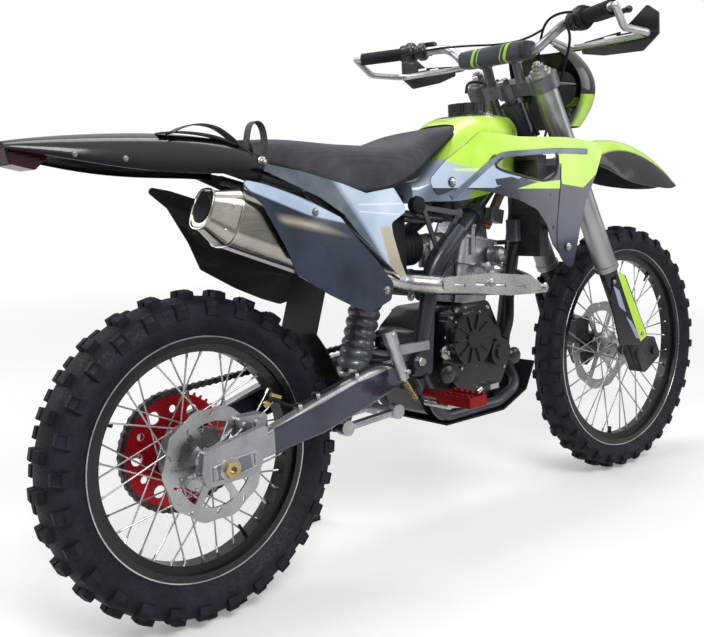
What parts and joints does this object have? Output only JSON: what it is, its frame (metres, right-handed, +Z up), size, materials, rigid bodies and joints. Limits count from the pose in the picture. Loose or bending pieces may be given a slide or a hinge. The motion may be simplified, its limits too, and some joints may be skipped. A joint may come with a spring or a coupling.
{
  "type": "trail motorcycle",
  "caption": "Slim off-road motorcycle with knobby tyres, long fork, flat seat, radiator shrouds, high silencer and hand guards, parked on its side stand.",
  "frame": {"origin": "centre of the whole part's footprint, on the floor", "axes": "+X forward, +Y to the rider's left, +Z up; the machine leans to +Y on its side stand"},
  "size_m": [2.0846, 0.8432, 1.238],
  "materials": {
    "dark_frame": "satin",
    "black_plastic": "satin",
    "gloss_black": "gloss",
    "arm_paint": "gloss",
    "bare_alloy": "brushed",
    "gold_axle": "polished",
    "dark_chain": "satin",
    "steel": "brushed",
    "spring_paint": "satin",
    "engine_black": "satin",
    "rubber_black": "matte",
    "radiator_alloy": "satin",
    "lime": "gloss",
    "cap_black": "satin",
    "panel_blue": "gloss",
    "panel_pale": "gloss",
    "seat_grip": "matte",
    "pad_foam": "matte",
    "lamp_red": "gloss",
    "peg_red": "anodised",
    "fork_grey": "satin",
    "fork_dark": "satin",
    "tyre": "matte",
    "rim_black": "satin",
    "sprocket_red": "anodised",
    "stand_black": "satin"
  },
  "bodies": {
    "frame": {"frame_main": "dark_frame", "frame_cradle": "dark_frame", "subframe": "dark_frame", "skid_plate": "black_plastic", "swingarm": "arm_paint", "rear_axle": "gold_axle", "chain": "dark_chain", "chain_guards": "black_plastic", "shock_body": "steel", "shock_spring": "spring_paint", "linkage": "bare_alloy", "crankcase": "engine_black", "engine_covers": "engine_black", "cylinder": "bare_alloy", "throttle_body": "bare_alloy", "intake_boot": "rubber_black", "airbox": "black_plastic", "header_pipe": "steel", "heat_shield": "steel", "silencer": "steel", "fuel_tank": "lime", "fuel_cap": "cap_black", "radiators": "radiator_alloy", "shrouds": "lime", "seat": "seat_grip", "side_panels": "panel_blue", "mid_panels": "panel_pale", "mud_flap": "black_plastic", "rear_fender": "gloss_black", "tail_light": "lamp_red", "plate_bracket": "black_plastic", "footpegs": "peg_red", "foot_levers": "steel", "rear_brake": "bare_alloy"},
    "fork": {"triple_clamps": "bare_alloy", "fork_outers": "fork_grey", "fork_lowers": "fork_dark", "fork_guards": "panel_blue", "front_caliper": "engine_black", "handlebar": "bare_alloy", "bar_pad": "pad_foam", "grips": "rubber_black", "controls": "engine_black", "handguards": "black_plastic", "headlight_mask": "gloss_black", "front_fender": "lime"},
    "front_wheel": {"front_tyre": "tyre", "front_rim": "rim_black", "front_spokes": "steel", "front_hub": "bare_alloy", "front_disc": "steel"},
    "rear_wheel": {"rear_tyre": "tyre", "rear_rim": "rim_black", "rear_spokes": "steel", "rear_hub": "bare_alloy", "rear_disc": "steel", "rear_sprocket": "sprocket_red"},
    "side_stand": {"side_stand": "stand_black"}
  },
  "joints": [
    {"name": "steering", "type": "hinge", "parent": "frame", "child": "fork", "pos_m": [0.63408, -0.09076, 0.31572], "axis": [-0.454, 0.0931, 0.8861], "range_deg": [-43, 43]},
    {"name": "front_wheel_spin", "type": "hinge", "parent": "fork", "child": "front_wheel", "pos_m": [0.69466, -0.08753, 0.34642], "axis": [0, 0.9945, -0.1045], "continuous": true},
    {"name": "rear_wheel_spin", "type": "hinge", "parent": "frame", "child": "rear_wheel", "pos_m": [-0.71034, -0.08919, 0.33064], "axis": [0, 0.9945, -0.1045], "continuous": true},
    {"name": "side_stand_fold", "type": "hinge", "parent": "frame", "child": "side_stand", "pos_m": [-0.31034, 0.05366, 0.33125], "axis": [0, 0.9877, 0.1564], "range_deg": [0, 94]}
  ]
}
